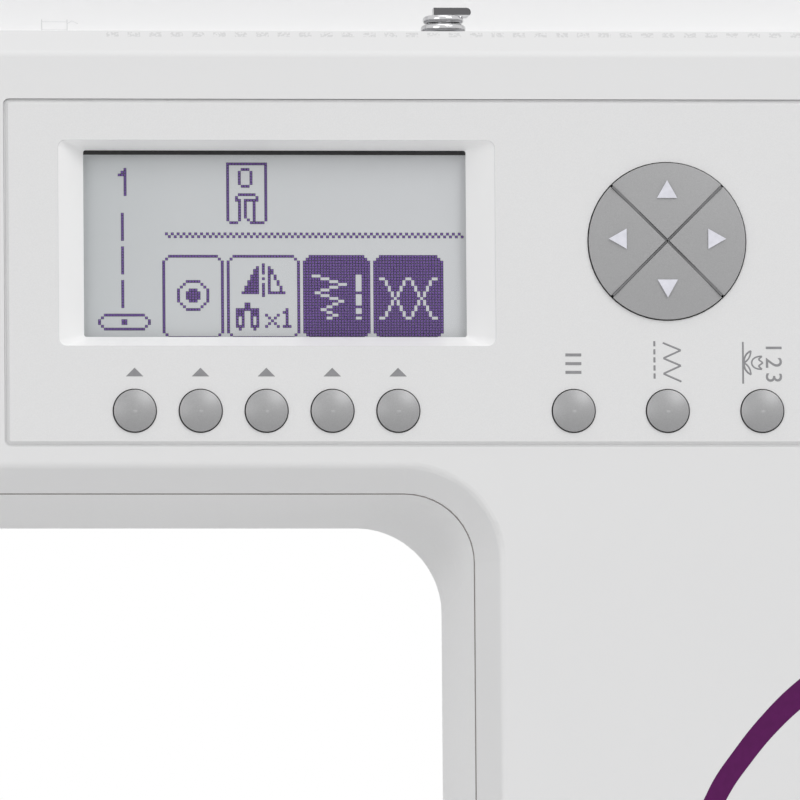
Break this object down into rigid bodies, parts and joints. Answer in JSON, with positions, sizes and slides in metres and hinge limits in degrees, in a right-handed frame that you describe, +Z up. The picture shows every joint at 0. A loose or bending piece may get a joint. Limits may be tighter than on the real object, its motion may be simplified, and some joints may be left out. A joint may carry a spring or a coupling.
{
  "type": "sewing machine",
  "caption": "Free-arm household sewing machine with an open top lid, a display panel with round keys, a cursor pad and a removable accessory box.",
  "frame": {"origin": "middle of the machine's footprint, at the level that the rubber feet stand on", "axes": "+X to the machine's right, +Y to its back, +Z up"},
  "size_m": [0.444, 0.163, 0.3745],
  "materials": {
    "shell_white": "satin moulded",
    "panel_silver": "satin moulded",
    "key_silver": "satin domed",
    "button_silver": "satin domed",
    "deck_grey": "fine texture",
    "dark_plastic": "fine texture",
    "pan_grey": "fine texture",
    "display_glass": "clear",
    "foot_rubber": "matte",
    "belt_rubber": "matte",
    "board_green": "solder mask",
    "cast_aluminium": "as cast",
    "bush_bronze": "machined",
    "polished_steel": "polished",
    "brushed_plate": "brushed",
    "ground_steel": "ground",
    "clear_plastic": "clear smoke",
    "motor_black": "satin",
    "wheel_plastic": "satin moulded"
  },
  "bodies": {
    "machine": {"front_cover": "shell_white", "rear_cover": "shell_white", "top_deck": "deck_grey", "base_pan": "pan_grey", "base_cover": "shell_white", "rubber_feet": "foot_rubber", "control_panel": "panel_silver", "display_lens": "display_glass", "display_module": "dark_plastic", "circuit_boards": "board_green", "arm_casting": "cast_aluminium", "shaft_bushings": "bush_bronze", "drive_belts": "belt_rubber", "motor": "motor_black", "power_inlet": "dark_plastic", "bobbin_case": "dark_plastic", "needle_plate": "brushed_plate", "winder_tension": "polished_steel", "lamp": "clear_plastic", "cover_screws": "ground_steel", "presser_spring": "ground_steel"},
    "lid": {"lid": "shell_white"},
    "handwheel": {"handwheel": "wheel_plastic", "main_shaft": "ground_steel"},
    "lower_shaft": {"lower_shaft": "ground_steel"},
    "rotary_hook": {"rotary_hook": "brushed_plate"},
    "motor_pulley": {"motor_pulley": "ground_steel"},
    "needle_bar": {"needle_bar": "polished_steel", "needle": "polished_steel"},
    "take_up_lever": {"take_up_lever": "polished_steel"},
    "presser_bar": {"presser_bar": "polished_steel", "presser_foot": "polished_steel"},
    "lifter_lever": {"lifter_lever": "brushed_plate"},
    "feed_dog": {"feed_dog": "brushed_plate"},
    "bobbin": {"bobbin": "clear_plastic"},
    "bobbin_cover": {"bobbin_cover": "clear_plastic"},
    "soft_key_1": {"soft_key_1": "key_silver"},
    "soft_key_2": {"soft_key_2": "key_silver"},
    "soft_key_3": {"soft_key_3": "key_silver"},
    "soft_key_4": {"soft_key_4": "key_silver"},
    "soft_key_5": {"soft_key_5": "key_silver"},
    "menu_key": {"menu_key": "key_silver"},
    "stitch_key": {"stitch_key": "key_silver"},
    "letter_key": {"letter_key": "key_silver"},
    "start_button": {"start_button": "button_silver"},
    "reverse_button": {"reverse_button": "button_silver"},
    "needle_button": {"needle_button": "button_silver"},
    "pad_up": {"pad_up": "key_silver"},
    "pad_down": {"pad_down": "key_silver"},
    "pad_left": {"pad_left": "key_silver"},
    "pad_right": {"pad_right": "key_silver"},
    "speed_slider": {"speed_slider": "button_silver"},
    "tension_dial": {"tension_dial": "dark_plastic"},
    "power_switch": {"power_switch": "dark_plastic"},
    "winder_carriage": {"winder_carriage": "deck_grey"},
    "winder_spindle": {"winder_spindle": "ground_steel"},
    "spool_pin": {"spool_pin": "deck_grey"},
    "spool_cap": {"spool_cap": "deck_grey"},
    "accessory_box": {"accessory_box": "shell_white"},
    "accessory_flap": {"accessory_flap": "shell_white"}
  },
  "joints": [
    {"name": "lid_hinge", "type": "hinge", "parent": "machine", "child": "lid", "pos_m": [0, 0.061, 0.287], "axis": [1, 0, 0], "range_deg": [0, 95]},
    {"name": "handwheel_spin", "type": "hinge", "parent": "machine", "child": "handwheel", "pos_m": [0.2, 0.017, 0.236], "axis": [1, 0, 0], "continuous": true},
    {"name": "lower_shaft_spin", "type": "hinge", "parent": "machine", "child": "lower_shaft", "pos_m": [0, 0.017, 0.037], "axis": [1, 0, 0], "continuous": true},
    {"name": "hook_spin", "type": "hinge", "parent": "machine", "child": "rotary_hook", "pos_m": [-0.15, -0.0003, 0.05], "axis": [0, 0, 1], "continuous": true},
    {"name": "motor_spin", "type": "hinge", "parent": "machine", "child": "motor_pulley", "pos_m": [0.163, 0.01, 0.114], "axis": [1, 0, 0], "continuous": true},
    {"name": "needle_bar_slide", "type": "slide", "parent": "machine", "child": "needle_bar", "axis": [0, 0, 1], "range_m": [-0.033, 0]},
    {"name": "take_up_swing", "type": "hinge", "parent": "machine", "child": "take_up_lever", "pos_m": [-0.168, 0.017, 0.222], "axis": [1, 0, 0], "range_deg": [0, 60]},
    {"name": "presser_bar_slide", "type": "slide", "parent": "machine", "child": "presser_bar", "axis": [0, 0, 1], "range_m": [-0.006, 0], "deforming": ["presser_spring"]},
    {"name": "lifter_swing", "type": "hinge", "parent": "machine", "child": "lifter_lever", "pos_m": [-0.14, 0.0495, 0.146], "axis": [0, 1, 0], "range_deg": [0, 45]},
    {"name": "feed_drop", "type": "slide", "parent": "machine", "child": "feed_dog", "axis": [0, 0, 1], "range_m": [-0.003, 0]},
    {"name": "bobbin_spin", "type": "hinge", "parent": "machine", "child": "bobbin", "pos_m": [-0.15, -0.0003, 0.056], "axis": [0, 0, 1], "continuous": true},
    {"name": "bobbin_cover_lift", "type": "slide", "parent": "machine", "child": "bobbin_cover", "axis": [0, 0, 1], "range_m": [0, 0.005]},
    {"name": "soft_key_1_press", "type": "slide", "parent": "machine", "child": "soft_key_1", "axis": [0, 1, 0], "range_m": [0, 0.0008], "stiffness_N_per_m": 1500},
    {"name": "soft_key_2_press", "type": "slide", "parent": "machine", "child": "soft_key_2", "axis": [0, 1, 0], "range_m": [0, 0.0008], "stiffness_N_per_m": 1500},
    {"name": "soft_key_3_press", "type": "slide", "parent": "machine", "child": "soft_key_3", "axis": [0, 1, 0], "range_m": [0, 0.0008], "stiffness_N_per_m": 1500},
    {"name": "soft_key_4_press", "type": "slide", "parent": "machine", "child": "soft_key_4", "axis": [0, 1, 0], "range_m": [0, 0.0008], "stiffness_N_per_m": 1500},
    {"name": "soft_key_5_press", "type": "slide", "parent": "machine", "child": "soft_key_5", "axis": [0, 1, 0], "range_m": [0, 0.0008], "stiffness_N_per_m": 1500},
    {"name": "menu_key_press", "type": "slide", "parent": "machine", "child": "menu_key", "axis": [0, 1, 0], "range_m": [0, 0.0008], "stiffness_N_per_m": 1500},
    {"name": "stitch_key_press", "type": "slide", "parent": "machine", "child": "stitch_key", "axis": [0, 1, 0], "range_m": [0, 0.0008], "stiffness_N_per_m": 1500},
    {"name": "letter_key_press", "type": "slide", "parent": "machine", "child": "letter_key", "axis": [0, 1, 0], "range_m": [0, 0.0008], "stiffness_N_per_m": 1500},
    {"name": "start_button_press", "type": "slide", "parent": "machine", "child": "start_button", "axis": [0, 1, 0], "range_m": [0, 0.0008], "stiffness_N_per_m": 1500},
    {"name": "reverse_button_press", "type": "slide", "parent": "machine", "child": "reverse_button", "axis": [0, 1, 0], "range_m": [0, 0.0008], "stiffness_N_per_m": 1500},
    {"name": "needle_button_press", "type": "slide", "parent": "machine", "child": "needle_button", "axis": [0, 1, 0], "range_m": [0, 0.0008], "stiffness_N_per_m": 1500},
    {"name": "pad_up_press", "type": "slide", "parent": "machine", "child": "pad_up", "axis": [0, 1, 0], "range_m": [0, 0.0006], "stiffness_N_per_m": 1500},
    {"name": "pad_down_press", "type": "slide", "parent": "machine", "child": "pad_down", "axis": [0, 1, 0], "range_m": [0, 0.0006], "stiffness_N_per_m": 1500},
    {"name": "pad_left_press", "type": "slide", "parent": "machine", "child": "pad_left", "axis": [0, 1, 0], "range_m": [0, 0.0006], "stiffness_N_per_m": 1500},
    {"name": "pad_right_press", "type": "slide", "parent": "machine", "child": "pad_right", "axis": [0, 1, 0], "range_m": [0, 0.0006], "stiffness_N_per_m": 1500},
    {"name": "speed_slide", "type": "slide", "parent": "machine", "child": "speed_slider", "axis": [1, 0, 0], "range_m": [-0.012, 0.012]},
    {"name": "tension_turn", "type": "hinge", "parent": "machine", "child": "tension_dial", "pos_m": [-0.204, -0.02, 0.246], "axis": [1, 0, 0], "range_deg": [-140, 140]},
    {"name": "power_rock", "type": "hinge", "parent": "machine", "child": "power_switch", "pos_m": [0.197, 0.006, 0.1], "axis": [0, 1, 0], "range_deg": [-7, 7]},
    {"name": "winder_engage", "type": "slide", "parent": "machine", "child": "winder_carriage", "axis": [1, 0, 0], "range_m": [0, 0.006]},
    {"name": "winder_spin", "type": "hinge", "parent": "winder_carriage", "child": "winder_spindle", "pos_m": [0.16, 0.008, 0.27], "axis": [0, 0, 1], "continuous": true},
    {"name": "spool_pin_lift", "type": "hinge", "parent": "machine", "child": "spool_pin", "pos_m": [-0.062, 0.027, 0.276], "axis": [0, 1, 0], "range_deg": [-45, 0]},
    {"name": "spool_cap_off", "type": "slide", "parent": "spool_pin", "child": "spool_cap", "axis": [1, 0, 0], "range_m": [0, 0.03]},
    {"name": "accessory_box_off", "type": "slide", "parent": "machine", "child": "accessory_box", "axis": [-1, 0, 0], "range_m": [0, 0.25]},
    {"name": "flap_tip", "type": "hinge", "parent": "accessory_box", "child": "accessory_flap", "pos_m": [0, -0.0806, 0.0146], "axis": [1, 0, 0], "range_deg": [0, 70]}
  ],
  "couplings": [
    {"joint": "lower_shaft_spin", "follows": "handwheel_spin", "ratio": 1},
    {"joint": "hook_spin", "follows": "handwheel_spin", "ratio": 2},
    {"joint": "motor_spin", "follows": "handwheel_spin", "ratio": 2.7143},
    {"joint": "take_up_swing", "follows": "needle_bar_slide", "rad_per_m": -31.6},
    {"joint": "lifter_swing", "follows": "presser_bar_slide", "rad_per_m": -130}
  ]
}
